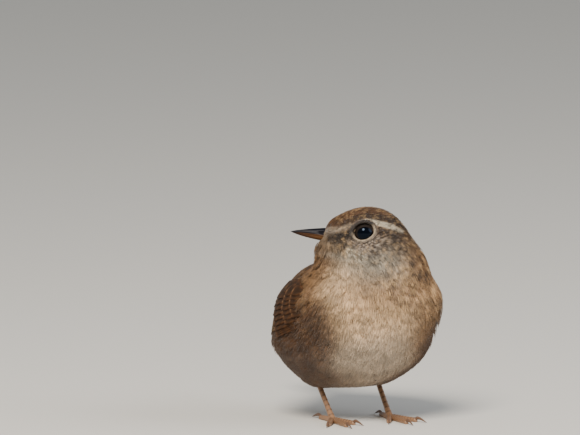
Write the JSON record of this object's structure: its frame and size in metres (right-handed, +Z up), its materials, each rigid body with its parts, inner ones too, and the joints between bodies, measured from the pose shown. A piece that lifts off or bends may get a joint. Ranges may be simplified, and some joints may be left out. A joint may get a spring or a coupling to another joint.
{
  "type": "wren",
  "caption": "Life-size still model of a plump Eurasian wren standing, head turned over its right shoulder.",
  "frame": {"origin": "on the floor, under the middle of the whole bird's box", "axes": "+Z up, -Y the way the breast faces, +X the bird's left side"},
  "size_m": [0.0452, 0.0756, 0.0576],
  "materials": {
    "crown_plumage": "short overlapping feathers, matte, brown with a cream brow stripe",
    "back_plumage": "soft overlapping feathers, matte, warm brown with fine dark bars",
    "breast_plumage": "soft overlapping feathers, matte, buff to cream",
    "wing_feathers": "firm vanes with a slight sheen, rufous brown barred dark",
    "tail_feathers": "firm vanes with a slight sheen, rufous brown barred dark",
    "bill_dark_horn": "smooth dark horn, satin",
    "bill_pale_horn": "smooth yellow-brown horn, satin",
    "eye_dark": "wet dark brown, high gloss",
    "leg_scutes": "pale brown scutes, satin"
  },
  "bodies": {
    "root": {"head": "crown_plumage", "neck": "back_plumage", "torso": "breast_plumage", "tail": "tail_feathers", "bill_upper": "bill_dark_horn", "bill_lower": "bill_pale_horn", "eye_L": "eye_dark", "wing_L": "wing_feathers", "thigh_L": "back_plumage", "tarsus_L": "leg_scutes", "foot_L": "leg_scutes", "eye_R": "eye_dark", "wing_R": "wing_feathers", "thigh_R": "back_plumage", "tarsus_R": "leg_scutes", "foot_R": "leg_scutes"}
  },
  "joints": []
}
